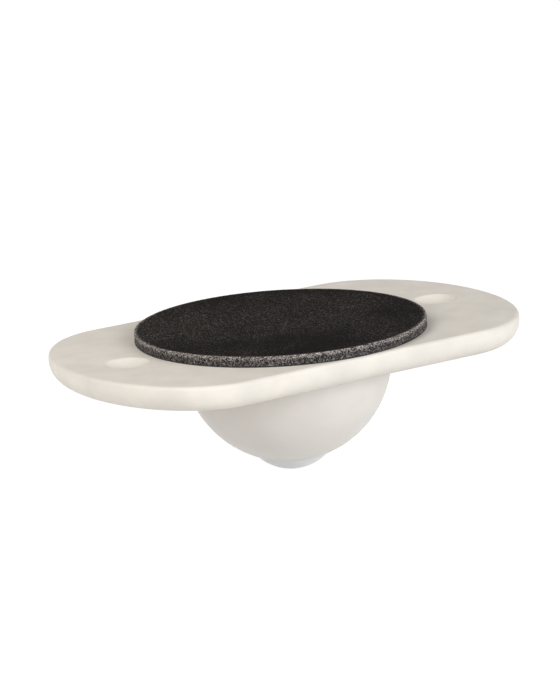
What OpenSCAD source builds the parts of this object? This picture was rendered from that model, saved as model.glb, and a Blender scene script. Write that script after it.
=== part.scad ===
// Adhesive ball caster: a flat plate with a foam pad on top and a ball in a domed housing below.
// Millimetres. The origin is on the pad's upper face, on the axis of the ball, with +Z out of the
// pad and +X along the plate. Sizes stack downwards from the pad's upper face.

/* [Plate] */
// Length of the plate, tip to tip
plate_l = 60; // [54:0.5:70]
// Width of the plate across its straight sides
plate_w = 37.6; // [36:0.2:46]
// Thickness of the plate
plate_t = 3.4; // [3:0.1:4]
// Depth of each round end, from the end of the straight side to the tip
end_depth = 13; // [10:0.5:18]
// Radius of the small upper edge
top_round = 0.5; // [0.2:0.1:0.8]
// Radius of the full lower edge
bottom_round = 2.5; // [1:0.1:3.2]

/* [Dimples] */
// Diameter of each blind dimple at the plate's upper face
dimple_d = 5.4; // [3:0.1:6]
// Depth of each dimple
dimple_depth = 1; // [0.3:0.1:1.2]
// Distance from the plate's tip to the middle of the dimple
dimple_inset = 7.2; // [6:0.1:9]

/* [Adhesive pad] */
// Thickness of the foam disc
foam_t = 1.1; // [0.6:0.1:2]
// Thickness of each adhesive film
film_t = 0.1; // [0.05:0.01:0.2]
// Distance that the plate's straight sides stand out past a centred pad
pad_margin = 0.65; // [0.4:0.05:3]
// How far off the axis the pad is stuck along the plate
pad_shift_x = -0.85; // [-1.5:0.05:1.5]
// How far off the axis the pad is stuck across the plate
pad_shift_y = -0.3; // [-0.8:0.05:0.8]

/* [Ball and beads] */
// Diameter of the load ball
ball_d = 12.7; // [11:0.1:14]
// How far the ball stands out of the bottom of the dome
ball_out = 1.2; // [0.8:0.1:2]
// Diameter of each steel bead
bead_d = 3; // [2.5:0.1:3.4]
// Number of beads in the ring round the pivot bead
inner_count = 6; // [5:1:7]
// Number of beads in the ring that rests on the shelf
outer_count = 11; // [9:1:12]
// Least gap between neighbouring beads
bead_gap = 0.15; // [0.1:0.01:0.3]
// Running clearance of the ball and of each bead
play = 0.05; // [0.03:0.01:0.1]

/* [Housing] */
// Wall of the pressed race
race_wall = 0.65; // [0.5:0.05:0.9]
// Thickness of the closure cap's brim
brim_t = 1.1; // [0.9:0.1:1.5]
// How far the brim reaches over the plate past the collar
brim_reach = 1.6; // [1:0.1:2.5]
// How deep the closure cap's plug goes into the dome
plug_depth = 3.2; // [2:0.1:4]
// Wall of the collar that stands up from the dome through the plate
collar_wall = 1.8; // [1.4:0.1:2]
// Clearance between pieces that are pushed together
fit = 0.05; // [0.02:0.01:0.1]
// How much wider the mouth is bored than the sharp edge where pocket and dome would meet
mouth_relief = 0.3; // [0.15:0.05:0.5]

/* [Hidden] */
// Heights of the faces, from the pad down
film_z = -film_t;
foam_z = film_z - foam_t;
plate_z = foam_z - film_t;
plate_low_z = plate_z - plate_t;
brim_z = plate_z - brim_t;

// Ball, bead bed and race share one centre
ball_r = ball_d / 2;
bead_r = bead_d / 2;
orbit_r = ball_r + play + bead_r;
race_r = orbit_r + bead_r + play;
race_out_r = race_r + race_wall;
ball_z = brim_z - fit - race_out_r;

// Polar angle between two beads that lie one bead gap apart, seen from the ball's centre
bead_angle = 2 * asin((bead_d + bead_gap) / (2 * orbit_r));
// Polar angle at which a closed ring of beads has at least the bead gap between neighbours
function ring_angle(count) = asin((bead_d + bead_gap) / (2 * orbit_r * sin(180 / count)));
inner_angle = max(bead_angle, ring_angle(inner_count));
outer_angle = max(inner_angle + bead_angle, ring_angle(outer_count));

// The shelf in the dome carries the race and keeps the lowest beads up
shelf_z = ball_z + orbit_r * cos(outer_angle) - bead_r - bead_gap;
bore_r = sqrt(race_out_r ^ 2 - (shelf_z - ball_z) ^ 2) + fit;
collar_r = bore_r + collar_wall;
brim_r = collar_r + brim_reach;

// The dome is a half ball under the plate; the pocket in it holds the load ball
ball_drop = plate_low_z - ball_z;
dome_r = ball_drop + ball_r - ball_out;
pocket_r = ball_r + play;
mouth_drop = (dome_r ^ 2 - pocket_r ^ 2 + ball_drop ^ 2) / (2 * ball_drop);
mouth_r = sqrt(dome_r ^ 2 - mouth_drop ^ 2) + mouth_relief;

pad_r = plate_w / 2 - pad_margin;
dimple_x = plate_l / 2 - dimple_inset;
dimple_ball_r = ((dimple_d / 2) ^ 2 + dimple_depth ^ 2) / (2 * dimple_depth);
lower_round = min(bottom_round, plate_t - top_round);

// Fineness of the plate's rounded form, and the overshoot of a cut past a face
end_steps = 32;
top_steps = 3;
lower_steps = 6;
slice_t = 0.01;
cut = 1;
$fn = 96;

plate_color = "#f2f0ea";
dome_color = "#dcdcd6";
cap_color = "#e6e4de";
ball_color = "#d5d8dc";
steel_color = "#b9bdc2";
foam_color = "#27272a";
film_color = "#1b1b1d";

fixed_nodes = [
    "flange_plate",
    "dome_housing",
    "closure_cap",
    "bearing_cup",
    "foam_core",
    "adhesive_upper",
    "adhesive_lower",
    "load_ball",
    "pivot_bead"
];
inner_nodes = [for (i = [1:inner_count]) str("inner_bead_", i)];
outer_nodes = [for (i = [1:outer_count]) str("outer_bead_", i)];

// Point on one end of the plate's outline: half an ellipse, moved inwards along its normal
function end_point(side, angle, inset) =
    let (half_w = plate_w / 2)
    let (normal = [half_w * cos(angle), end_depth * sin(angle)])
    let (on_edge = [end_depth * cos(angle), half_w * sin(angle)])
    let (moved = on_edge - inset * normal / norm(normal))
    side * [plate_l / 2 - end_depth + moved[0], moved[1]];

module plate_outline(inset) {
    step = 180 / end_steps;
    polygon([for (side = [1, -1]) for (angle = [-90:step:90]) end_point(side, angle, inset)]);
}

// Thin slice of the plate between a height and the height just above it
module plate_slice(low_z, inset) {
    translate([0, 0, low_z])
        linear_extrude(slice_t)
            plate_outline(inset);
}

// The plate before it is cut: slices that follow the upper and the lower round
module plate_blank() {
    hull() {
        for (angle = [0:90 / top_steps:90])
            plate_slice(
                plate_z - slice_t - top_round * (1 - cos(angle)),
                top_round * (1 - sin(angle))
            );
        for (angle = [0:90 / lower_steps:90])
            plate_slice(
                plate_low_z + lower_round * (1 - cos(angle)),
                lower_round * (1 - sin(angle))
            );
    }
}

module dimple(side) {
    translate([side * dimple_x, 0, plate_z - dimple_depth + dimple_ball_r])
        sphere(r = dimple_ball_r);
}

// White moulded plate with a hole for the dome's collar and a recess for the cap's brim
module flange_plate() {
    color(plate_color)
        difference() {
            plate_blank();
            translate([0, 0, plate_low_z - cut])
                cylinder(r = collar_r + fit, h = plate_t + 2 * cut);
            translate([0, 0, brim_z])
                cylinder(r = brim_r + fit, h = brim_t + cut);
            dimple(1);
            dimple(-1);
        }
}

// Half ball below the plate, with a collar through the plate, a bore for the race and a ball pocket
module dome_housing() {
    color(dome_color)
        difference() {
            union() {
                intersection() {
                    translate([0, 0, plate_low_z])
                        sphere(r = dome_r);
                    translate([0, 0, plate_low_z - dome_r - cut])
                        cylinder(r = dome_r + cut, h = dome_r + cut);
                }
                translate([0, 0, shelf_z])
                    cylinder(r = collar_r, h = brim_z - shelf_z);
            }
            translate([0, 0, shelf_z])
                cylinder(r = bore_r, h = brim_z - shelf_z + cut);
            translate([0, 0, ball_z])
                sphere(r = pocket_r);
            translate([0, 0, ball_z])
                cylinder(r = pocket_r, h = shelf_z - ball_z + cut);
            translate([0, 0, plate_low_z - dome_r - cut])
                cylinder(r = mouth_r, h = dome_r + cut - ball_drop);
        }
}

// Plug with a brim that lies flush in the plate and a round seat for the race
module closure_cap() {
    color(cap_color)
        difference() {
            union() {
                translate([0, 0, brim_z])
                    cylinder(r = brim_r, h = brim_t);
                translate([0, 0, brim_z - plug_depth])
                    cylinder(r = bore_r - fit, h = plug_depth + brim_t);
            }
            translate([0, 0, ball_z])
                sphere(r = race_out_r + fit);
        }
}

// Pressed steel race: a bowl over the bead bed whose rim stands on the shelf
module bearing_cup() {
    color(steel_color)
        difference() {
            translate([0, 0, ball_z])
                sphere(r = race_out_r);
            translate([0, 0, ball_z])
                sphere(r = race_r);
            translate([0, 0, ball_z - race_out_r - cut])
                cylinder(r = race_out_r + cut, h = race_out_r + cut + shelf_z - ball_z);
        }
}

// One layer of the round pad, between two heights
module pad_layer(low_z, high_z) {
    translate([pad_shift_x, pad_shift_y, low_z])
        cylinder(r = pad_r, h = high_z - low_z);
}

module foam_core() {
    color(foam_color)
        pad_layer(foam_z, film_z);
}

module adhesive_upper() {
    color(film_color)
        pad_layer(film_z, 0);
}

module adhesive_lower() {
    color(film_color)
        pad_layer(plate_z, foam_z);
}

module load_ball() {
    color(ball_color)
        translate([0, 0, ball_z])
            sphere(r = ball_r);
}

// One bead of the bed, at a polar angle from the top of the ball and an angle round its axis
module bead(polar, around) {
    color(steel_color)
        translate([0, 0, ball_z])
            rotate([0, 0, around])
                rotate([0, polar, 0])
                    translate([0, 0, orbit_r])
                        sphere(r = bead_r);
}

module pivot_bead() {
    bead(0, 0);
}

module inner_bead(i) {
    bead(inner_angle, (i - 1) * 360 / inner_count);
}

module outer_bead(i) {
    bead(outer_angle, (i - 1) * 360 / outer_count);
}

flange_plate();
dome_housing();
closure_cap();
bearing_cup();
foam_core();
adhesive_upper();
adhesive_lower();
load_ball();
pivot_bead();
for (i = [1:inner_count])
    inner_bead(i);
for (i = [1:outer_count])
    outer_bead(i);
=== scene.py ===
"""Looks of a stick-on ball caster, laid out as an add-on: plate, foam pad, dome, ball and bearing."""

import math

import bpy
import numpy as np
from bpy.props import FloatProperty, FloatVectorProperty, IntProperty, PointerProperty
from mathutils import Matrix, Vector


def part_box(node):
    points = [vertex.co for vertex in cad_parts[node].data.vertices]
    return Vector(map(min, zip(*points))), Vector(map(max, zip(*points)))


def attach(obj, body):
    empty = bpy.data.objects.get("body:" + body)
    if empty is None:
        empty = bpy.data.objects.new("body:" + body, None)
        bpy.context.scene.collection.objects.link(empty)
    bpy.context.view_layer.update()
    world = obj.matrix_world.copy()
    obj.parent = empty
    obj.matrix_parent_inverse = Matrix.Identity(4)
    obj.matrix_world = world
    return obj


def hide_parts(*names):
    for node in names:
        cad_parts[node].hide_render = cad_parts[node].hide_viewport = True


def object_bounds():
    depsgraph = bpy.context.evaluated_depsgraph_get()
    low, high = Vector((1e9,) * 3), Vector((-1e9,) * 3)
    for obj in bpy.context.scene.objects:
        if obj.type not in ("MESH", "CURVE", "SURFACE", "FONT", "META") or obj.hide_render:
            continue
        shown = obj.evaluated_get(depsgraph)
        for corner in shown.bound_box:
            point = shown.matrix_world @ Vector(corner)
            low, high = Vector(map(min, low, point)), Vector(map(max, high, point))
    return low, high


bl_info = {
    "name": "Adhesive ball caster",
    "version": (1, 0, 0),
    "blender": (4, 5, 0),
    "location": "View3D > Sidebar > Caster",
    "description": "Dresses a stick-on ball caster: moulded plate, foam pad, dome, ball and bead bed",
    "category": "Object",
}

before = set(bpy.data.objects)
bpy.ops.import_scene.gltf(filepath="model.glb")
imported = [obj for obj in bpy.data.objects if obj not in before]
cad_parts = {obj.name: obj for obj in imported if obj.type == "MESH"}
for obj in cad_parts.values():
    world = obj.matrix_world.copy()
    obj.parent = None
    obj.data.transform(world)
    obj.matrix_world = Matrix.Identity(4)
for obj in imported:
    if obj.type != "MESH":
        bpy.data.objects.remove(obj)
CAD_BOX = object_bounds()
MM = 0.001
QUARTER_TURN = math.pi / 2
WHITE = (1.0, 1.0, 1.0, 1.0)

# Nearly all values of a noise texture lie in this range
NOISE_RANGE = {"From Min": 0.3, "From Max": 0.7}

# Inputs that go by number: of a maths node, of a mix of colours and of a mix of shaders
MATH_FIRST = 0
MATH_SECOND = 1
MIX_SHARE = 0
MIX_FROM = 6
MIX_TO = 7
BLEND_SHARE = 0
BLEND_FROM = 1
BLEND_TO = 2


# Small helpers for colours, nodes and meshes

def linear(hex_colour):
    """Linear red, green and blue of an sRGB colour written as #rrggbb."""
    shares = [int(hex_colour[i:i + 2], 16) / 255 for i in (1, 3, 5)]
    return tuple(s / 12.92 if s <= 0.04045 else ((s + 0.055) / 1.055) ** 2.4 for s in shares)


def shade(colour, share=1.0):
    """A colour made darker or lighter by a share, with full opacity, as shader sockets take it."""
    return (*(min(share * c, 1.0) for c in colour), 1.0)


def per_size(size_mm):
    """Texture scale at which one feature of a pattern on Object coordinates has this size."""
    return 1 / (size_mm * MM)


def join(tree, node, links):
    """Links input sockets of a node, by name or number, to sockets or to the first output of nodes."""
    for key, source in links.items():
        if not isinstance(source, bpy.types.NodeSocket):
            source = next(output for output in source.outputs if output.enabled)
        tree.links.new(source, node.inputs[key])


def add_node(tree, kind, settings=None, links=None):
    """Adds a node; settings name its own properties or its input sockets, links name input sockets."""
    node = tree.nodes.new(kind)
    for key, value in (settings or {}).items():
        if isinstance(key, str) and key in node.bl_rna.properties:
            setattr(node, key, value)
        else:
            node.inputs[key].default_value = value
    join(tree, node, links or {})
    return node


def start_material(name, settings):
    """A material with one Principled shader; returns it, its tree, the shader and Object coordinates."""
    material = bpy.data.materials.new(name)
    material.use_nodes = True
    tree = material.node_tree
    tree.nodes.clear()
    shader = add_node(tree, "ShaderNodeBsdfPrincipled", settings)
    add_node(tree, "ShaderNodeOutputMaterial", links={"Surface": shader})
    place = add_node(tree, "ShaderNodeTexCoord").outputs["Object"]
    return material, tree, shader, place


def ring_faces(rings, around, wrap):
    """Quads between each ring of points and the next; wrap joins the last ring to the first."""
    ring = np.arange(rings if wrap else rings - 1)[:, None] * around
    step = np.arange(around)[None, :]
    next_ring = (ring + around) % (rings * around)
    next_step = (step + 1) % around
    corners = (ring + step, ring + next_step, next_ring + next_step, next_ring + step)
    return np.stack(np.broadcast_arrays(*corners), -1).reshape(-1, 4)


def pole_faces(pole, ring_start, around, flip):
    """Triangles from one pole point to the ring that begins at ring_start."""
    step = np.arange(around)
    next_step = (step + 1) % around
    pair = (next_step, step) if flip else (step, next_step)
    return np.stack([np.full(around, pole), ring_start + pair[0], ring_start + pair[1]], -1)


def signed_volume(points, quads):
    """Volume inside a mesh of quads: the sum over their triangles of p0 . (p1 x p2) / 6."""
    corner = points[quads]
    first = np.einsum("ij,ij->i", corner[:, 0], np.cross(corner[:, 1], corner[:, 2]))
    second = np.einsum("ij,ij->i", corner[:, 0], np.cross(corner[:, 2], corner[:, 3]))
    return (first.sum() + second.sum()) / 6


def ring_mesh(name, rings, wrap, attributes=None):
    """A closed mesh from rings of points, shape (rings, around, 3), with faces that point outwards.

    With wrap the last ring joins the first; otherwise each end closes on the mean of its ring.
    """
    count, around = rings.shape[:2]
    points = rings.reshape(-1, 3)
    faces = ring_faces(count, around, wrap)
    values = {key: value.reshape(-1) for key, value in (attributes or {}).items()}
    fans = np.zeros((0, 3), int)
    if not wrap:
        poles = np.array([rings[0].mean(0), rings[-1].mean(0)])
        low = pole_faces(len(points), 0, around, True)
        high = pole_faces(len(points) + 1, (count - 1) * around, around, False)
        fans = np.concatenate([low, high])
        values = {key: np.append(v, (v[0], v[-1])) for key, v in values.items()}
        points = np.concatenate([points, poles])
    ends = fans[:, [0, 1, 2, 2]]
    if signed_volume(points, np.concatenate([faces, ends])) < 0:
        faces = faces[:, ::-1]
        fans = fans[:, ::-1]
    mesh = bpy.data.meshes.new(name)
    mesh.from_pydata(points.tolist(), [], faces.tolist() + fans.tolist())
    mesh.polygons.foreach_set("use_smooth", np.ones(len(mesh.polygons), bool))
    for key, value in values.items():
        layer = mesh.attributes.new(key, "FLOAT", "POINT")
        layer.data.foreach_set("value", value.astype(np.float32))
    mesh.update()
    return mesh


def add_piece(mesh, material, body, stands_for):
    """Puts a mesh into the scene at the origin, in place of CAD nodes and moving with a body."""
    piece = bpy.data.objects.new(mesh.name, mesh)
    piece.data.materials.append(material)
    bpy.context.scene.collection.objects.link(piece)
    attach(piece, body)
    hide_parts(*stands_for)
    return piece


def finish_node(name, material):
    """Gives a CAD node its finish."""
    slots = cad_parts[name].data.materials
    slots.clear()
    slots.append(material)


def turn_profile(profile, around):
    """Surface of revolution about Z: (r, z) carried round as (r cos a, r sin a, z)."""
    turn = np.linspace(0, 2 * math.pi, around, endpoint=False)
    radius = profile[:, 0, None]
    height = np.broadcast_to(profile[:, 1, None], (len(profile), around))
    return np.stack([radius * np.cos(turn), radius * np.sin(turn), height], -1)


def arc(centre, radius, start, end, steps):
    """Points (r, z) on a circle from one angle to another, both counted from +r towards +z."""
    turn = np.linspace(start, end, steps)
    return np.stack([centre[0] + radius * np.cos(turn), centre[1] + radius * np.sin(turn)], -1)


def crisp(corners, inset):
    """A polyline through (r, z) corners, with a point close to each side of a corner to keep it sharp."""
    most_share = 0.25
    corners = np.asarray(corners, float)
    step = np.diff(corners, axis=0)
    share = np.minimum(inset / np.linalg.norm(step, axis=1, keepdims=True), most_share)
    after = corners[:-1] + share * step
    before = corners[1:] - share * step
    inner = np.stack([corners[:-1], after, before], 1).reshape(-1, 2)
    return np.concatenate([inner, corners[-1:]])


def foam_cells(along, across, columns, rows, seed):
    """Foam cut open: how near each point is to a cell wall, 0 to 1, and a random number for its cell.

    Positions are in cells. Each unit square holds one cell middle at a seeded random place, and the
    pattern repeats after the given number of columns. A wall is where the nearest and the second
    nearest middle are equally far.
    """
    too_far = 9.0
    wall_reach = 0.5
    stored_rows = rows + 3
    random = np.random.default_rng(seed)
    middles = random.random((stored_rows, columns, 2))
    numbers = random.random((stored_rows, columns))
    column = np.floor(along).astype(int)
    row = np.floor(across).astype(int)
    nearest = np.full(along.shape, too_far)
    second = np.full(along.shape, too_far)
    number = np.zeros(along.shape)
    for d_row in (-1, 0, 1):
        for d_column in (-1, 0, 1):
            cell_row = np.clip(row + d_row + 1, 0, stored_rows - 1)
            cell_column = (column + d_column) % columns
            middle = middles[cell_row, cell_column]
            gap_along = column + d_column + middle[..., 0] - along
            gap_across = row + d_row + middle[..., 1] - across
            gap = np.hypot(gap_along, gap_across)
            number = np.where(gap < nearest, numbers[cell_row, cell_column], number)
            second = np.minimum(second, np.maximum(nearest, gap))
            nearest = np.minimum(nearest, gap)
    return 1 - np.clip((second - nearest) / wall_reach, 0, 1), number


# Settings that a user would change

def length(name, description, default_mm):
    """A length property with its default written in millimetres."""
    return FloatProperty(
        name=name,
        description=description,
        default=default_mm * MM,
        unit="LENGTH",
        subtype="DISTANCE",
        precision=5,
    )


def angle(name, description, degrees):
    """An angle property with its default written in degrees."""
    return FloatProperty(name=name, description=description, default=math.radians(degrees), subtype="ANGLE")


def level(name, description, default):
    """A light level, at which 1 shows a facing surface in its own colour."""
    return FloatProperty(name=name, description=description, default=default, min=0)


def finish_colour(name, description, hex_colour):
    """A colour property with its default written as an sRGB hex value."""
    return FloatVectorProperty(
        name=name,
        description=description,
        default=linear(hex_colour),
        size=3,
        min=0,
        max=1,
        subtype="COLOR",
    )


class PlateSettings(bpy.types.PropertyGroup):
    """Sizes and finish of the moulded plate"""

    end_depth: length("End depth", "Depth of each round end along the plate", 13)
    top_round: length("Upper edge", "Radius of the small upper edge", 0.5)
    lower_round: length("Lower edge", "Radius of the full lower edge", 2.5)
    dimple_inset: length("Dimple inset", "From the plate's tip to the middle of a dimple", 7.2)
    dimple_diameter: length("Dimple diameter", "Diameter of a dimple at the upper face", 5.4)
    dimple_depth: length("Dimple depth", "Depth of a dimple", 1)
    dimple_blend: length("Dimple blend", "How softly a dimple's rim runs into the face", 0.03)
    brim_reach: length("Brim reach", "How far the cap's brim reaches past the hole for the collar", 1.6)
    fit: length("Fit", "Clearance between pieces that are pushed together", 0.05)
    colour: finish_colour("Plastic", "Colour of the plate's plastic", "#ece6dd")


class PadSettings(bpy.types.PropertyGroup):
    """Sizes and finish of the foam pad and its adhesive films"""

    edge_round: length("Edge round", "Radius of the foam's upper edge", 0.2)
    foot_round: length("Foot round", "Radius of the foam's lower edge", 0.08)
    waist: length("Waist", "How far the cut edge draws in at mid height", 0.03)
    cell: length("Cell", "Width of one cell in the cut edge", 0.2)
    cell_depth: length("Cell depth", "Depth of an opened cell", 0.05)
    film_inset: length("Film inset", "How far the film's rim lies in from the foam's edge", 0.1)
    # Width of the painted highlight along the film's rim
    rim_highlight_width: length("Rubbed width", "Width of the film's rim that is rubbed pale", 0.6)
    uneven: length("Unevenness", "Depth of the soft hollows in the film", 0.03)
    seed: IntProperty(name="Seed", description="Seed of the foam's random cells", default=7)
    pit_colour: finish_colour("Open cells", "Colour inside the foam's cells", "#1a1817")
    wall_colour: finish_colour("Cell walls", "Colour of the foam's cut cell walls", "#a29b98")
    film_colour: finish_colour("Film", "Colour of the adhesive film", "#1c1918")
    rim_colour: finish_colour("Film rim", "Colour of the film's cut rim", "#8e8581")


class DomeSettings(bpy.types.PropertyGroup):
    """Sizes and finish of the domed housing"""

    play: length("Play", "Running clearance between the pocket and the ball", 0.05)
    mouth_relief: length("Mouth relief", "How much wider the mouth is than its sharp edge", 0.3)
    mouth_round: length("Mouth round", "Radius of the edge at the mouth", 0.06)
    collar_wall: length("Collar wall", "Wall of the collar that stands up through the plate", 1.8)
    colour: finish_colour("Plastic", "Colour of the dome's plastic", "#e2ddd7")


class BallSettings(bpy.types.PropertyGroup):
    """Sizes and finish of the load ball"""

    seam_width: length("Seam width", "Width of the witness line round the ball", 0.16)
    seam_depth: length("Seam depth", "Depth of the witness line", 0.02)
    colour: finish_colour("Plastic", "Colour of the ball's plastic", "#e1e0e0")


class BearingSettings(bpy.types.PropertyGroup):
    """Finish of the race and the beads"""

    bead_colour: finish_colour("Bead steel", "Colour of the polished beads", "#c9cbce")
    race_colour: finish_colour("Race steel", "Colour of the pressed race", "#a9abad")


class StageSettings(bpy.types.PropertyGroup):
    """Camera, lamps and floor"""

    azimuth: angle("Azimuth", "Camera's turn about Z", -31.974)
    elevation: angle("Elevation", "Camera's height angle", 13.589)
    roll: angle("Roll", "Camera's turn about its own axis", -3.574)
    distance: length("Distance", "From the camera to the point it looks at", 442.8)
    aim_right: length("Aim right", "Aim point from the plate's upper face, to the picture's right", -0.649)
    aim_up: length("Aim up", "Aim point from the plate's upper face, to the picture's top", -2.478)
    lens: FloatProperty(
        name="Lens",
        description="Focal length in millimetres",
        default=183.644,
        subtype="DISTANCE_CAMERA",
    )
    floor_size: length("Floor size", "Half the width of the floor", 3000)
    ambient: level("Ambient", "Level of the even light from all round", 0.16)
    key: level("Key", "Level of the low lamp before the long side", 0.69)
    high: level("High", "Level of the higher lamp before the long side", 0.19)
    fill: level("Fill", "Level of the lamp at the left end", 0.39)
    near: level("Near", "Level of the small lamp close over the left end", 0.3)
    floor_white: level("Floor white", "Level of plain white in what the camera sees of the floor", 1.25)
    floor_share: FloatProperty(
        name="Floor share",
        description="Share of plain white in what the camera sees of the floor",
        default=0.75,
        min=0,
        max=1,
        subtype="FACTOR",
    )


SETTINGS = {
    "caster_plate": PlateSettings,
    "caster_pad": PadSettings,
    "caster_dome": DomeSettings,
    "caster_ball": BallSettings,
    "caster_bearing": BearingSettings,
    "caster_stage": StageSettings,
}


# Materials, each named for the real one

def moulded_abs(settings):
    """White ABS from a fine spark-eroded mould: faint flow marks, and a matt sheen over a fine grain."""
    material, tree, shader, place = start_material("moulded_abs_white", {"IOR": 1.54})
    cloud = add_node(tree, "ShaderNodeTexNoise", {"Scale": per_size(4), "Detail": 3}, {"Vector": place})
    spread = add_node(tree, "ShaderNodeMapRange", NOISE_RANGE, {"Value": cloud})
    dark = shade(settings.colour, 0.92)
    pale = shade(settings.colour, 1.03)
    tones = {"data_type": "RGBA", MIX_FROM: dark, MIX_TO: pale}
    colour = add_node(tree, "ShaderNodeMix", tones, {MIX_SHARE: spread})
    # A real spark grain is finer; it is drawn this coarse so that it shows
    grain = add_node(tree, "ShaderNodeTexNoise", {"Scale": per_size(0.25), "Detail": 3}, {"Vector": place})
    sheen = {**NOISE_RANGE, "To Min": 0.62, "To Max": 0.72}
    gloss = add_node(tree, "ShaderNodeMapRange", sheen, {"Value": grain})
    bump = add_node(tree, "ShaderNodeBump", {"Strength": 0.12, "Distance": 0.02 * MM}, {"Height": grain})
    join(tree, shader, {"Base Color": colour, "Roughness": gloss, "Normal": bump})
    return material


def natural_polypropylene(settings):
    """Unpigmented PP: milky, a little light travels through it, smooth satin from a polished mould."""
    through = {
        "IOR": 1.49,
        "Subsurface Weight": 0.25,
        "Subsurface Radius": (1.0, 0.95, 0.85),
        "Subsurface Scale": 2 * MM,
    }
    material, tree, shader, place = start_material("natural_polypropylene", through)
    flow = add_node(tree, "ShaderNodeTexNoise", {"Scale": per_size(5), "Detail": 3}, {"Vector": place})
    spread = add_node(tree, "ShaderNodeMapRange", NOISE_RANGE, {"Value": flow})
    dark = shade(settings.colour, 0.95)
    tones = {"data_type": "RGBA", MIX_FROM: dark, MIX_TO: shade(settings.colour)}
    colour = add_node(tree, "ShaderNodeMix", tones, {MIX_SHARE: spread})
    # The marks of a polished mould are finer; they are drawn this coarse so that they show
    polish = add_node(tree, "ShaderNodeTexNoise", {"Scale": per_size(0.35), "Detail": 2}, {"Vector": place})
    sheen = {**NOISE_RANGE, "To Min": 0.38, "To Max": 0.46}
    gloss = add_node(tree, "ShaderNodeMapRange", sheen, {"Value": polish})
    bump = add_node(tree, "ShaderNodeBump", {"Strength": 0.06, "Distance": 0.02 * MM}, {"Height": polish})
    join(tree, shader, {"Base Color": colour, "Roughness": gloss, "Normal": bump})
    return material


def ground_acetal(settings):
    """Ground and tumbled acetal ball: cool grey-white, smoother and glossier than the housing."""
    material, tree, shader, place = start_material("ground_acetal", {"IOR": 1.48})
    cloud = add_node(tree, "ShaderNodeTexNoise", {"Scale": per_size(4), "Detail": 2}, {"Vector": place})
    spread = add_node(tree, "ShaderNodeMapRange", NOISE_RANGE, {"Value": cloud})
    dark = shade(settings.colour, 0.95)
    tones = {"data_type": "RGBA", MIX_FROM: dark, MIX_TO: shade(settings.colour)}
    colour = add_node(tree, "ShaderNodeMix", tones, {MIX_SHARE: spread})
    scuff = add_node(tree, "ShaderNodeTexNoise", {"Scale": per_size(1.2), "Detail": 4}, {"Vector": place})
    sheen = {**NOISE_RANGE, "To Min": 0.28, "To Max": 0.4}
    gloss = add_node(tree, "ShaderNodeMapRange", sheen, {"Value": scuff})
    join(tree, shader, {"Base Color": colour, "Roughness": gloss})
    return material


def cut_foam(settings):
    """Die-cut black polyethylene foam: dark cells, pale specks where walls tore, and a painted highlight
    greying the top of the cut edge.
    """
    matt = {"IOR": 1.5, "Specular IOR Level": 0.15}
    material, tree, shader, place = start_material("cut_polyethylene_foam", matt)
    # pale holds the cells' own tone and a painted highlight towards the top of the cut edge
    pale = add_node(tree, "ShaderNodeAttribute", {"attribute_name": "pale"}).outputs["Fac"]
    grain = add_node(tree, "ShaderNodeTexVoronoi", {"Scale": per_size(0.11)}, {"Vector": place})
    number = add_node(tree, "ShaderNodeSeparateColor", links={"Color": grain.outputs["Color"]})
    cube = {"operation": "POWER", MATH_SECOND: 3.0}
    speck = add_node(tree, "ShaderNodeMath", cube, {MATH_FIRST: number})
    spread = add_node(tree, "ShaderNodeMapRange", {"To Min": 0.0, "To Max": 3.8}, {"Value": speck})
    factors = {MATH_FIRST: pale, MATH_SECOND: spread}
    speckled = add_node(tree, "ShaderNodeMath", {"operation": "MULTIPLY"}, factors)
    pit = shade(settings.pit_colour)
    wall = shade(settings.wall_colour)
    tones = {"data_type": "RGBA", MIX_FROM: pit, MIX_TO: wall}
    colour = add_node(tree, "ShaderNodeMix", tones, {MIX_SHARE: speckled})
    gloss = add_node(tree, "ShaderNodeMapRange", {"To Min": 0.8, "To Max": 0.45}, {"Value": speckled})
    join(tree, shader, {"Base Color": colour, "Roughness": gloss})
    return material


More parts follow.
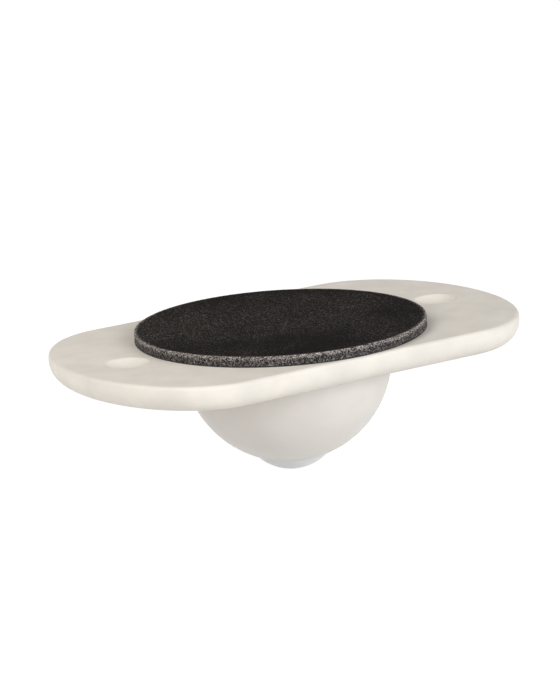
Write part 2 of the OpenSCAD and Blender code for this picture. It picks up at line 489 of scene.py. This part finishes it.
def tacky_film(settings):
    """Acrylic adhesive over black foam: matt black, grained by the cells beneath, lightened in broad
    patches by a painted sheen, with a painted highlight in specks along the cut rim.
    """
    matt = {"IOR": 1.47, "Specular IOR Level": 0.02, "Roughness": 0.8}
    material, tree, shader, place = start_material("acrylic_adhesive_film", matt)
    grain = add_node(tree, "ShaderNodeTexVoronoi", {"Scale": per_size(0.12)}, {"Vector": place})
    number = add_node(tree, "ShaderNodeSeparateColor", links={"Color": grain.outputs["Color"]})
    rare = {"operation": "POWER", MATH_SECOND: 8.0}
    glint = add_node(tree, "ShaderNodeMath", rare, {MATH_FIRST: number})
    # Painted sheen: a broad noise, placed by its seed, lightens the film and scales its specks in patches
    sheen_patches = {"noise_dimensions": "4D", "W": 24.1, "Scale": per_size(14), "Detail": 5}
    haze = add_node(tree, "ShaderNodeTexNoise", sheen_patches, {"Vector": place})
    spread = {"From Min": 0.35, "From Max": 0.65, "To Min": 0.2, "To Max": 1.1}
    painted_sheen = add_node(tree, "ShaderNodeMapRange", spread, {"Value": haze})
    lift = {"operation": "ADD", MATH_SECOND: 0.05}
    raised = add_node(tree, "ShaderNodeMath", lift, {MATH_FIRST: glint})
    factors = {MATH_FIRST: raised, MATH_SECOND: painted_sheen}
    both = add_node(tree, "ShaderNodeMath", {"operation": "MULTIPLY"}, factors)
    dark = shade(settings.film_colour, 0.3)
    pale = shade(settings.rim_colour, 0.6)
    tones = {"data_type": "RGBA", MIX_FROM: dark, MIX_TO: pale}
    face = add_node(tree, "ShaderNodeMix", tones, {MIX_SHARE: both})
    # Painted highlight along the film's cut rim, broken into specks by the cells
    painted_rim_highlight = add_node(tree, "ShaderNodeAttribute", {"attribute_name": "painted_rim_highlight"}).outputs["Fac"]
    square = {"operation": "POWER", MATH_SECOND: 2.0}
    speckled = add_node(tree, "ShaderNodeMath", square, {MATH_FIRST: number})
    factors = {MATH_FIRST: painted_rim_highlight, MATH_SECOND: speckled}
    specks = add_node(tree, "ShaderNodeMath", {"operation": "MULTIPLY"}, factors)
    # Colour of the painted rim highlight: the rim colour made 3.2 times lighter
    edge = {"data_type": "RGBA", MIX_TO: shade(settings.rim_colour, 3.2)}
    colour = add_node(tree, "ShaderNodeMix", edge, {MIX_SHARE: specks, MIX_FROM: face})
    relief = {"Strength": 0.6, "Distance": 0.05 * MM}
    bump = add_node(tree, "ShaderNodeBump", relief, {"Height": grain.outputs["Distance"]})
    join(tree, shader, {"Base Color": colour, "Normal": bump})
    return material


def adhesive_line(settings):
    """Acrylic adhesive under the foam, seen only as a thin dark line at the pad's foot."""
    material, tree, shader, place = start_material("acrylic_adhesive_line", {"IOR": 1.47, "Roughness": 0.4})
    smear = add_node(tree, "ShaderNodeTexNoise", {"Scale": per_size(0.6), "Detail": 2}, {"Vector": place})
    pale = shade(settings.film_colour, 2)
    tones = {"data_type": "RGBA", MIX_FROM: shade(settings.film_colour), MIX_TO: pale}
    colour = add_node(tree, "ShaderNodeMix", tones, {MIX_SHARE: smear})
    join(tree, shader, {"Base Color": colour})
    return material


def polished_steel(settings):
    """Lapped bearing steel: mirror bright, with faint haze from handling."""
    bright = {"Base Color": shade(settings.bead_colour), "Metallic": 1.0}
    material, tree, shader, place = start_material("polished_bearing_steel", bright)
    haze = add_node(tree, "ShaderNodeTexNoise", {"Scale": per_size(0.6), "Detail": 4}, {"Vector": place})
    sheen = {**NOISE_RANGE, "To Min": 0.06, "To Max": 0.2}
    gloss = add_node(tree, "ShaderNodeMapRange", sheen, {"Value": haze})
    join(tree, shader, {"Roughness": gloss})
    return material


def pressed_steel(settings):
    """Cold-pressed strip steel, zinc plated: grey and satin, with fine drawing marks."""
    plain = {"Base Color": shade(settings.race_colour), "Metallic": 1.0}
    material, tree, shader, place = start_material("pressed_zinc_plated_steel", plain)
    marks = add_node(tree, "ShaderNodeTexNoise", {"Scale": per_size(0.4), "Detail": 5}, {"Vector": place})
    sheen = {**NOISE_RANGE, "To Min": 0.28, "To Max": 0.48}
    gloss = add_node(tree, "ShaderNodeMapRange", sheen, {"Value": marks})
    join(tree, shader, {"Roughness": gloss})
    return material


# Shapes

def plate_outline(settings, half):
    """Points and outward normals round the plate: half ellipses joined by straight sides.

    An end is (a + d cos t, w sin t) for t from -90 to 90 degrees, where d is the end's depth, w the
    half width and a the half length less d. The other half of the outline is the same turned about Z.
    Points crowd towards the tip, t = 90 (u + 3 u3) / 4 degrees, to draw the dimple's rim finely.
    """
    end_steps = 180
    side_steps = 40
    straight = half.x - settings.end_depth
    u = np.linspace(-1, 1, end_steps)
    t = QUARTER_TURN * (u + 3 * u ** 3) / 4
    end = np.stack([straight + settings.end_depth * np.cos(t), half.y * np.sin(t)], -1)
    end_normal = np.stack([half.y * np.cos(t), settings.end_depth * np.sin(t)], -1)
    end_normal /= np.linalg.norm(end_normal, axis=1, keepdims=True)
    x = np.linspace(straight, -straight, side_steps + 2)[1:-1]
    side = np.stack([x, np.full(side_steps, half.y)], -1)
    side_normal = np.broadcast_to([0.0, 1.0], side.shape)
    points = np.concatenate([end, side])
    normals = np.concatenate([end_normal, side_normal])
    return np.concatenate([points, -points]), np.concatenate([normals, -normals])


def dimple_drop(settings, x, y, middle):
    """Depth of the face below its plane: two ball-shaped dimples with softened rims.

    Inside a dimple d = sqrt(R2 - r2) - (R - depth), negative outside; the rim is softened as
    (d + sqrt(d2 + e2)) / 2, which fades out one radius past the rim.
    """
    rim = settings.dimple_diameter / 2
    depth = settings.dimple_depth
    ball = (rim ** 2 + depth ** 2) / (2 * depth)
    reach = np.hypot(np.abs(x) - middle, y)
    dish = np.sqrt(np.maximum(ball ** 2 - reach ** 2, 0)) - (ball - depth)
    soft = (dish + np.sqrt(dish ** 2 + settings.dimple_blend ** 2)) / 2
    return soft * np.clip(2 - reach / rim, 0, 1)


def at_height(flat, height):
    """Flat points (x, y) lifted to a height, one for all of them or one each."""
    return np.concatenate([flat, np.broadcast_to(height, (len(flat), 1))], -1)


def plate_rings(settings):
    """The plate as rings: from the brim's recess over the face and both edge rounds, back up the hole.

    A ring on a face lies a share s of the way from a circle to the outline; a ring on an edge is the
    outline moved in along its normal by r (1 - sin a) at a height r (1 - cos a) from the face.
    """
    inner_steps = 8
    dimple_steps = 72
    outer_steps = 10
    top_steps = 7
    lower_steps = 18
    under_steps = 20
    low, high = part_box("flange_plate")
    half = (high - low) / 2
    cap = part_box("closure_cap")
    brim_r = (cap[1].x - cap[0].x) / 2
    recess_r = brim_r + settings.fit
    hole_r = brim_r - settings.brim_reach + settings.fit
    recess_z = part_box("dome_housing")[1].z
    outline, normals = plate_outline(settings, half)
    turn = np.arctan2(outline[:, 1], outline[:, 0])
    ray = np.stack([np.cos(turn), np.sin(turn)], -1)

    middle = half.x - settings.dimple_inset
    rim_allowance = 1.2
    zone = rim_allowance * settings.dimple_diameter / 2
    near = (middle - zone - recess_r) / (half.x - recess_r)
    far = (middle + zone - recess_r) / (half.x - recess_r)
    before = np.linspace(0, near, inner_steps, endpoint=False)
    over_dimple = np.linspace(near, far, dimple_steps, endpoint=False)
    after = np.linspace(far, 1, outer_steps)

    rings = []
    for share in np.concatenate([before, over_dimple, after]):
        flat = (1 - share) * recess_r * ray + share * (outline - settings.top_round * normals)
        drop = dimple_drop(settings, flat[:, 0], flat[:, 1], middle)
        rings.append(at_height(flat, high.z - drop[:, None]))
    for a in np.linspace(0, QUARTER_TURN, top_steps)[1:]:
        inset = settings.top_round * (1 - math.sin(a))
        rings.append(at_height(outline - inset * normals, high.z - settings.top_round * (1 - math.cos(a))))
    for a in np.linspace(QUARTER_TURN, 0, lower_steps):
        inset = settings.lower_round * (1 - math.sin(a))
        rings.append(at_height(outline - inset * normals, low.z + settings.lower_round * (1 - math.cos(a))))
    for share in np.linspace(1, 0, under_steps)[1:]:
        flat = (1 - share) * hole_r * ray + share * (outline - settings.lower_round * normals)
        rings.append(at_height(flat, low.z))
    rings.append(at_height(hole_r * ray, recess_z))
    rings.append(at_height(recess_r * ray, recess_z))
    return np.array(rings)


def foam_top(settings, radius, rim, high):
    """Height of the foam's upper side: flat, then a quarter round of the edge's radius to the rim."""
    past = np.clip(radius - (rim - settings.edge_round), 0, settings.edge_round)
    return high - settings.edge_round + np.sqrt(settings.edge_round ** 2 - past ** 2)


def centred(rings, low, high):
    """Rings about Z moved to the middle of a box."""
    rings[..., 0] += (low.x + high.x) / 2
    rings[..., 1] += (low.y + high.y) / 2
    return rings


def foam_rings(settings):
    """The foam disc as rings: flat below, a cut edge pitted by open cells, a quarter round, flat above.

    The edge draws in by waist * 4 h (1 - h) at a share h of its height, and each point moves inwards
    by the cell depth times its distance from a cell wall, less in some cells than in others. Returns
    how pale each point is as well: it differs from cell to cell, and a painted highlight makes the
    edge's upper part paler, by a cube that starts some way up the edge and grows over a set length of it.
    """
    around = 2000
    flat_shares = np.array([0.3, 0.645, 0.99])
    foot_steps = 4
    side_steps = 26
    top_steps = 8
    low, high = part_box("foam_core")
    rim = (high.x - low.x) / 2
    edge = settings.edge_round
    foot = settings.foot_round
    under = np.stack([flat_shares * (rim - foot), np.full(len(flat_shares), low.z)], -1)
    foot_arc = arc((rim - foot, low.z + foot), foot, -QUARTER_TURN, 0, foot_steps)
    share = np.linspace(0, 1, side_steps)[1:-1]
    side_z = low.z + foot + share * (high.z - edge - low.z - foot)
    side = np.stack([rim - settings.waist * 4 * share * (1 - share), side_z], -1)
    top_arc = arc((rim - edge, high.z - edge), edge, 0, QUARTER_TURN, top_steps)
    above = np.stack([flat_shares[::-1] * (rim - edge), np.full(len(flat_shares), high.z)], -1)
    profile = np.concatenate([under, foot_arc, side, top_arc, above])
    rings = turn_profile(profile, around)

    run = np.concatenate([[0], np.cumsum(np.linalg.norm(np.diff(profile, axis=0), axis=1))])
    run -= run[len(under)]
    edge_run = run[-len(above) - 1]
    columns = round(2 * math.pi * rim / settings.cell)
    along = np.broadcast_to(np.arange(around) * columns / around, rings.shape[:2])
    across = np.broadcast_to(run[:, None] / settings.cell, rings.shape[:2])
    rows = math.ceil(edge_run / settings.cell) + 1
    wall, number = foam_cells(along, across, columns, rows, settings.seed)
    on_edge = ((run >= 0) & (run <= edge_run))[:, None]
    shallower = 0.7
    pit = np.where(on_edge, settings.cell_depth * (1 - wall) * (1 - shallower * number), 0)
    flat_r = np.linalg.norm(rings[..., :2], axis=-1)
    rings[..., :2] *= (1 - pit / flat_r)[..., None]
    # Painted highlight: the upper part of the cut edge is painted paler, growing by a cube towards the top
    highlight_start = 0.4
    highlight_length = 0.5
    most_highlit = 9
    highlight_ramp = np.clip((run[:, None] / edge_run - highlight_start) / highlight_length, 0, 1) ** 3
    even_pale = 0.1
    cell_pale = 0.1
    wall_pale = 0.05
    own_pale = even_pale + cell_pale * number + wall_pale * wall
    pale = np.clip((1 + (most_highlit - 1) * highlight_ramp) * own_pale, 0, 1)
    return centred(rings, low, high), np.where(on_edge, pale, 0)


def film_rings(settings):
    """The upper film as rings: it lies on the foam, follows the foam's edge round and ends in a half round.

    Soft hollows sink its upper side by up to the unevenness times a product of two bent sine waves.
    Returns how strong the painted highlight of the cut rim is at each point as well: 1 at the rim,
    falling off inwards by a cube.
    """
    around = 400
    face_steps = 84
    rim_steps = 7
    end_steps = 7
    lower_steps = 6
    low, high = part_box("adhesive_upper")
    rim = (high.x - low.x) / 2
    thick = high.z - low.z
    reach = rim - settings.film_inset
    face_shares = np.linspace(0.004, 0.985, face_steps)
    rim_shares = np.linspace(0.988, 1, rim_steps)
    radius = np.concatenate([face_shares, rim_shares]) * reach
    upper = np.stack([radius, foam_top(settings, radius, rim, low.z) + thick], -1)
    end_z = foam_top(settings, reach, rim, low.z) + thick / 2
    end = arc((reach, end_z), thick / 2, QUARTER_TURN, -QUARTER_TURN, end_steps)[1:-1]
    lower_r = np.linspace(1, 0.1, lower_steps) * reach
    lower = np.stack([lower_r, foam_top(settings, lower_r, rim, low.z)], -1)
    rings = turn_profile(np.concatenate([upper, end, lower]), around)
    x = rings[..., 0] / MM
    y = rings[..., 1] / MM
    # Radians per millimetre of the two waves and of what bends them, and how far it bends them
    x_wave = 1.5
    y_wave = 1.7
    x_bend = 1.1
    y_bend = 0.9
    bend = 2
    wave = np.sin(x_wave * x + bend * np.sin(y_bend * y))
    wave *= np.sin(y_wave * y + bend * np.sin(x_bend * x))
    is_upper = (np.arange(len(rings)) < len(upper))[:, None]
    rings[..., 2] -= np.where(is_upper, settings.uneven * (0.5 + 0.5 * wave), 0)
    flat_r = np.hypot(x, y) * MM
    # Painted highlight: 1 at the cut rim, falling off inwards by a cube
    painted_rim_highlight = np.clip(1 + (flat_r - reach) / settings.rim_highlight_width, 0, 1) ** 3
    return centred(rings, low, high), painted_rim_highlight


def dome_rings(settings, fit):
    """The dome as a turned profile: half round outside, mouth, ball pocket, shelf, bore and collar.

    The mouth is where the pocket's ball of radius p, a drop d below the dome's middle, breaks the
    dome of radius R: at a depth (R2 - p2 + d2) / 2d and a radius sqrt(R2 - depth2).
    """
    around = 288
    outside_steps = 90
    pocket_steps = 40
    near = 0.04 * MM
    low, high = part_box("dome_housing")
    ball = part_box("load_ball")
    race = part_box("bearing_cup")
    dome_r = (high.x - low.x) / 2
    middle_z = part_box("flange_plate")[0].z
    ball_r = (ball[1].z - ball[0].z) / 2
    ball_z = (ball[1].z + ball[0].z) / 2
    pocket_r = ball_r + settings.play
    drop = middle_z - ball_z
    mouth_depth = (dome_r ** 2 - pocket_r ** 2 + drop ** 2) / (2 * drop)
    mouth_r = math.sqrt(dome_r ** 2 - mouth_depth ** 2) + settings.mouth_relief
    shelf_z = race[0].z
    bore_r = (race[1].x - race[0].x) / 2 + fit
    collar_r = bore_r + settings.collar_wall
    mouth_angle = -math.acos(mouth_r / dome_r)
    outside_end = mouth_angle + settings.mouth_round / dome_r
    outside = arc((0, middle_z), dome_r, -near / dome_r, outside_end, outside_steps)
    mouth_low = middle_z + dome_r * math.sin(mouth_angle)
    mouth_high = ball_z - math.sqrt(pocket_r ** 2 - mouth_r ** 2)
    lip = np.array([[mouth_r, mouth_low + settings.mouth_round], [mouth_r, mouth_high - near]])
    pocket = arc((0, ball_z), pocket_r, -math.acos(mouth_r / pocket_r), 0, pocket_steps)
    corners = [
        (pocket_r, ball_z),
        (pocket_r, shelf_z),
        (bore_r, shelf_z),
        (bore_r, high.z),
        (collar_r, high.z),
        (collar_r, middle_z),
        (dome_r, middle_z),
    ]
    inside = crisp(corners, near)[1:]
    return turn_profile(np.concatenate([outside, lip, pocket, inside]), around)


def ball_rings(settings):
    """The ball as rings from pole to pole: radius R less a fine groove round its middle.

    The groove is seam depth * exp(-(2 h / seam width)2) at a height h along the surface.
    """
    around = 192
    even_steps = 160
    seam_steps = 13
    seam_reach = 1.5
    low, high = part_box("load_ball")
    middle_z = (low.z + high.z) / 2
    radius = (high.z - low.z) / 2
    even = np.linspace(-QUARTER_TURN, QUARTER_TURN, even_steps + 2)[1:-1]
    by_seam = np.linspace(-seam_reach, seam_reach, seam_steps) * settings.seam_width / radius
    height = np.unique(np.concatenate([even, by_seam]))
    groove = settings.seam_depth * np.exp(-((2 * height * radius / settings.seam_width) ** 2))
    grooved = radius - groove
    profile = np.stack([grooved * np.cos(height), middle_z + grooved * np.sin(height)], -1)
    return turn_profile(profile, around)


# Stage

def place_camera(settings):
    """A long lens at the picture's angle, aimed beside the middle of the plate's upper face."""
    a, e, r = settings.azimuth, settings.elevation, settings.roll
    back = Vector((math.sin(a) * math.cos(e), -math.cos(a) * math.cos(e), math.sin(e)))
    flat_right = Vector((math.cos(a), math.sin(a), 0))
    flat_up = back.cross(flat_right)
    right = math.cos(r) * flat_right + math.sin(r) * flat_up
    up = math.cos(r) * flat_up - math.sin(r) * flat_right
    face = Vector((0, 0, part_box("flange_plate")[1].z))
    aim = face + settings.aim_right * right + settings.aim_up * up
    camera = bpy.data.objects.new("camera", bpy.data.cameras.new("camera"))
    camera.data.lens = settings.lens
    camera.data.sensor_width = 36
    camera.data.clip_start = 0.01
    turn = Matrix((right, up, back)).transposed().to_4x4()
    camera.matrix_world = Matrix.Translation(aim + settings.distance * back) @ turn
    bpy.context.scene.collection.objects.link(camera)
    bpy.context.scene.camera = camera


def seen_ray(tree):
    """1 for what the camera sees directly, in gloss or through glass, and 0 for other light."""
    path = add_node(tree, "ShaderNodeLightPath").outputs
    either = {MATH_FIRST: path["Is Camera Ray"], MATH_SECOND: path["Is Glossy Ray"]}
    direct_or_gloss = add_node(tree, "ShaderNodeMath", {"operation": "MAXIMUM"}, either)
    any_of = {MATH_FIRST: direct_or_gloss, MATH_SECOND: path["Is Transmission Ray"]}
    return add_node(tree, "ShaderNodeMath", {"operation": "MAXIMUM"}, any_of)


def light_world(settings):
    """Even light from all round, and plain white where the surround itself is seen."""
    world = bpy.data.worlds.new("white_surround")
    world.use_nodes = True
    tree = world.node_tree
    tree.nodes.clear()
    even = add_node(tree, "ShaderNodeBackground", {"Color": WHITE, "Strength": settings.ambient})
    white = add_node(tree, "ShaderNodeBackground", {"Color": WHITE, "Strength": 1.0})
    ends = {BLEND_SHARE: seen_ray(tree), BLEND_FROM: even, BLEND_TO: white}
    mixed = add_node(tree, "ShaderNodeMixShader", links=ends)
    add_node(tree, "ShaderNodeOutputWorld", links={"Surface": mixed})
    bpy.context.scene.world = world


def add_lamp(name, place, size, light_level, colour):
    """A square soft lamp turned to the part; power P at a distance d gives a level of P / (pi d)2."""
    lamp = bpy.data.lights.new(name, "AREA")
    lamp.size = size
    lamp.energy = light_level * (math.pi * Vector(place).length) ** 2
    lamp.color = colour
    holder = bpy.data.objects.new(name, lamp)
    holder.location = place
    holder.rotation_euler = (-Vector(place)).to_track_quat("-Z", "Y").to_euler()
    bpy.context.scene.collection.objects.link(holder)


def place_lamps(settings):
    """A low and a higher lamp before the long side, and at the left end a fill and a small near lamp."""
    cool = (0.96, 0.98, 1.0)
    neutral = (1.0, 1.0, 1.0)
    warm = (1.0, 0.95, 0.85)
    add_lamp("key_lamp", (0.36, -0.91, 0.21), 0.6, settings.key, cool)
    add_lamp("high_lamp", (0.15, -0.85, 0.5), 0.5, settings.high, neutral)
    add_lamp("fill_lamp", (-0.92, -0.2, 0.34), 0.5, settings.fill, neutral)
    add_lamp("near_lamp", (-0.14, 0.04, 0.2), 0.15, settings.near, warm)


def lay_floor(settings):
    """A white floor under the ball that keeps the soft shadow and is clear when seen from below."""
    low = CAD_BOX[0].z
    half = settings.floor_size
    mesh = bpy.data.meshes.new("floor")
    corners = [(-half, -half, low), (half, -half, low), (half, half, low), (-half, half, low)]
    mesh.from_pydata(corners, [], [(0, 1, 2, 3)])
    material = bpy.data.materials.new("white_floor")
    material.use_nodes = True
    tree = material.node_tree
    tree.nodes.clear()
    matt = add_node(tree, "ShaderNodeBsdfDiffuse", {"Color": shade(WHITE[:3], 0.9)})
    white = add_node(tree, "ShaderNodeEmission", {"Color": WHITE, "Strength": settings.floor_white})
    part = {"operation": "MULTIPLY", MATH_SECOND: settings.floor_share}
    share = add_node(tree, "ShaderNodeMath", part, {MATH_FIRST: seen_ray(tree)})
    ends = {BLEND_SHARE: share, BLEND_FROM: matt, BLEND_TO: white}
    lit = add_node(tree, "ShaderNodeMixShader", links=ends)
    clear = add_node(tree, "ShaderNodeBsdfTransparent")
    below = add_node(tree, "ShaderNodeNewGeometry").outputs["Backfacing"]
    sides = {BLEND_SHARE: below, BLEND_FROM: lit, BLEND_TO: clear}
    surface = add_node(tree, "ShaderNodeMixShader", links=sides)
    add_node(tree, "ShaderNodeOutputMaterial", links={"Surface": surface})
    mesh.materials.append(material)
    floor = bpy.data.objects.new("floor", mesh)
    bpy.context.scene.collection.objects.link(floor)


# Operators, one for each piece or group of like pieces and one for the stage

class CASTER_OT_stage(bpy.types.Operator):
    """Make the camera, the lamps, the white surround and the floor"""

    bl_idname = "caster.stage"
    bl_label = "Stage"

    def execute(self, context):
        settings = context.scene.caster_stage
        context.scene.view_settings.view_transform = "Standard"
        place_camera(settings)
        light_world(settings)
        place_lamps(settings)
        lay_floor(settings)
        return {"FINISHED"}


class CASTER_OT_plate(bpy.types.Operator):
    """Make the moulded plate"""

    bl_idname = "caster.plate"
    bl_label = "Plate"

    def execute(self, context):
        settings = context.scene.caster_plate
        mesh = ring_mesh("moulded_plate", plate_rings(settings), True)
        add_piece(mesh, moulded_abs(settings), "housing", ["flange_plate"])
        return {"FINISHED"}


class CASTER_OT_pad(bpy.types.Operator):
    """Make the foam pad and its upper film, and finish the film under it"""

    bl_idname = "caster.pad"
    bl_label = "Foam pad"

    def execute(self, context):
        settings = context.scene.caster_pad
        rings, pale = foam_rings(settings)
        mesh = ring_mesh("foam_disc", rings, False, {"pale": pale})
        foam = add_piece(mesh, cut_foam(settings), "housing", ["foam_core"])
        rings, painted_rim_highlight = film_rings(settings)
        mesh = ring_mesh("upper_film", rings, False, {"painted_rim_highlight": painted_rim_highlight})
        add_piece(mesh, tacky_film(settings), "housing", ["adhesive_upper"])
        finish_node("adhesive_lower", adhesive_line(settings))
        return {"FINISHED"}


class CASTER_OT_dome(bpy.types.Operator):
    """Make the domed housing and finish the cap that closes it"""

    bl_idname = "caster.dome"
    bl_label = "Dome"

    def execute(self, context):
        settings = context.scene.caster_dome
        plastic = natural_polypropylene(settings)
        mesh = ring_mesh("dome_shell", dome_rings(settings, context.scene.caster_plate.fit), True)
        add_piece(mesh, plastic, "housing", ["dome_housing"])
        finish_node("closure_cap", plastic)
        return {"FINISHED"}


class CASTER_OT_ball(bpy.types.Operator):
    """Make the load ball"""

    bl_idname = "caster.ball"
    bl_label = "Load ball"

    def execute(self, context):
        settings = context.scene.caster_ball
        mesh = ring_mesh("rolling_ball", ball_rings(settings), False)
        add_piece(mesh, ground_acetal(settings), "ball", ["load_ball"])
        return {"FINISHED"}


class CASTER_OT_bearing(bpy.types.Operator):
    """Finish the race and the beads"""

    bl_idname = "caster.bearing"
    bl_label = "Bead bed"

    def execute(self, context):
        settings = context.scene.caster_bearing
        finish_node("bearing_cup", pressed_steel(settings))
        beads = polished_steel(settings)
        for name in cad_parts:
            if "_bead" in name:
                finish_node(name, beads)
        return {"FINISHED"}


OPERATORS = (
    CASTER_OT_stage,
    CASTER_OT_plate,
    CASTER_OT_pad,
    CASTER_OT_dome,
    CASTER_OT_ball,
    CASTER_OT_bearing,
)


class CASTER_PT_panel(bpy.types.Panel):
    """Lists the caster's pieces and their settings"""

    bl_idname = "CASTER_PT_panel"
    bl_label = "Ball caster"
    bl_space_type = "VIEW_3D"
    bl_region_type = "UI"
    bl_category = "Caster"

    def draw(self, context):
        for operator in OPERATORS:
            self.layout.operator(operator.bl_idname)
        for name, group in SETTINGS.items():
            box = self.layout.box()
            box.label(text=group.__doc__)
            for key in group.__annotations__:
                box.prop(getattr(context.scene, name), key)


CLASSES = (*SETTINGS.values(), *OPERATORS, CASTER_PT_panel)


def register():
    """Registers the classes and hangs the settings on the scene."""
    for each in CLASSES:
        bpy.utils.register_class(each)
    for name, group in SETTINGS.items():
        setattr(bpy.types.Scene, name, PointerProperty(type=group))


def unregister():
    """Undoes register."""
    for name in SETTINGS:
        delattr(bpy.types.Scene, name)
    for each in reversed(CLASSES):
        bpy.utils.unregister_class(each)


def main():
    """Makes every piece in order."""
    register()
    bpy.ops.caster.stage()
    bpy.ops.caster.plate()
    bpy.ops.caster.pad()
    bpy.ops.caster.dome()
    bpy.ops.caster.ball()
    bpy.ops.caster.bearing()


if __name__ == "__main__":
    main()
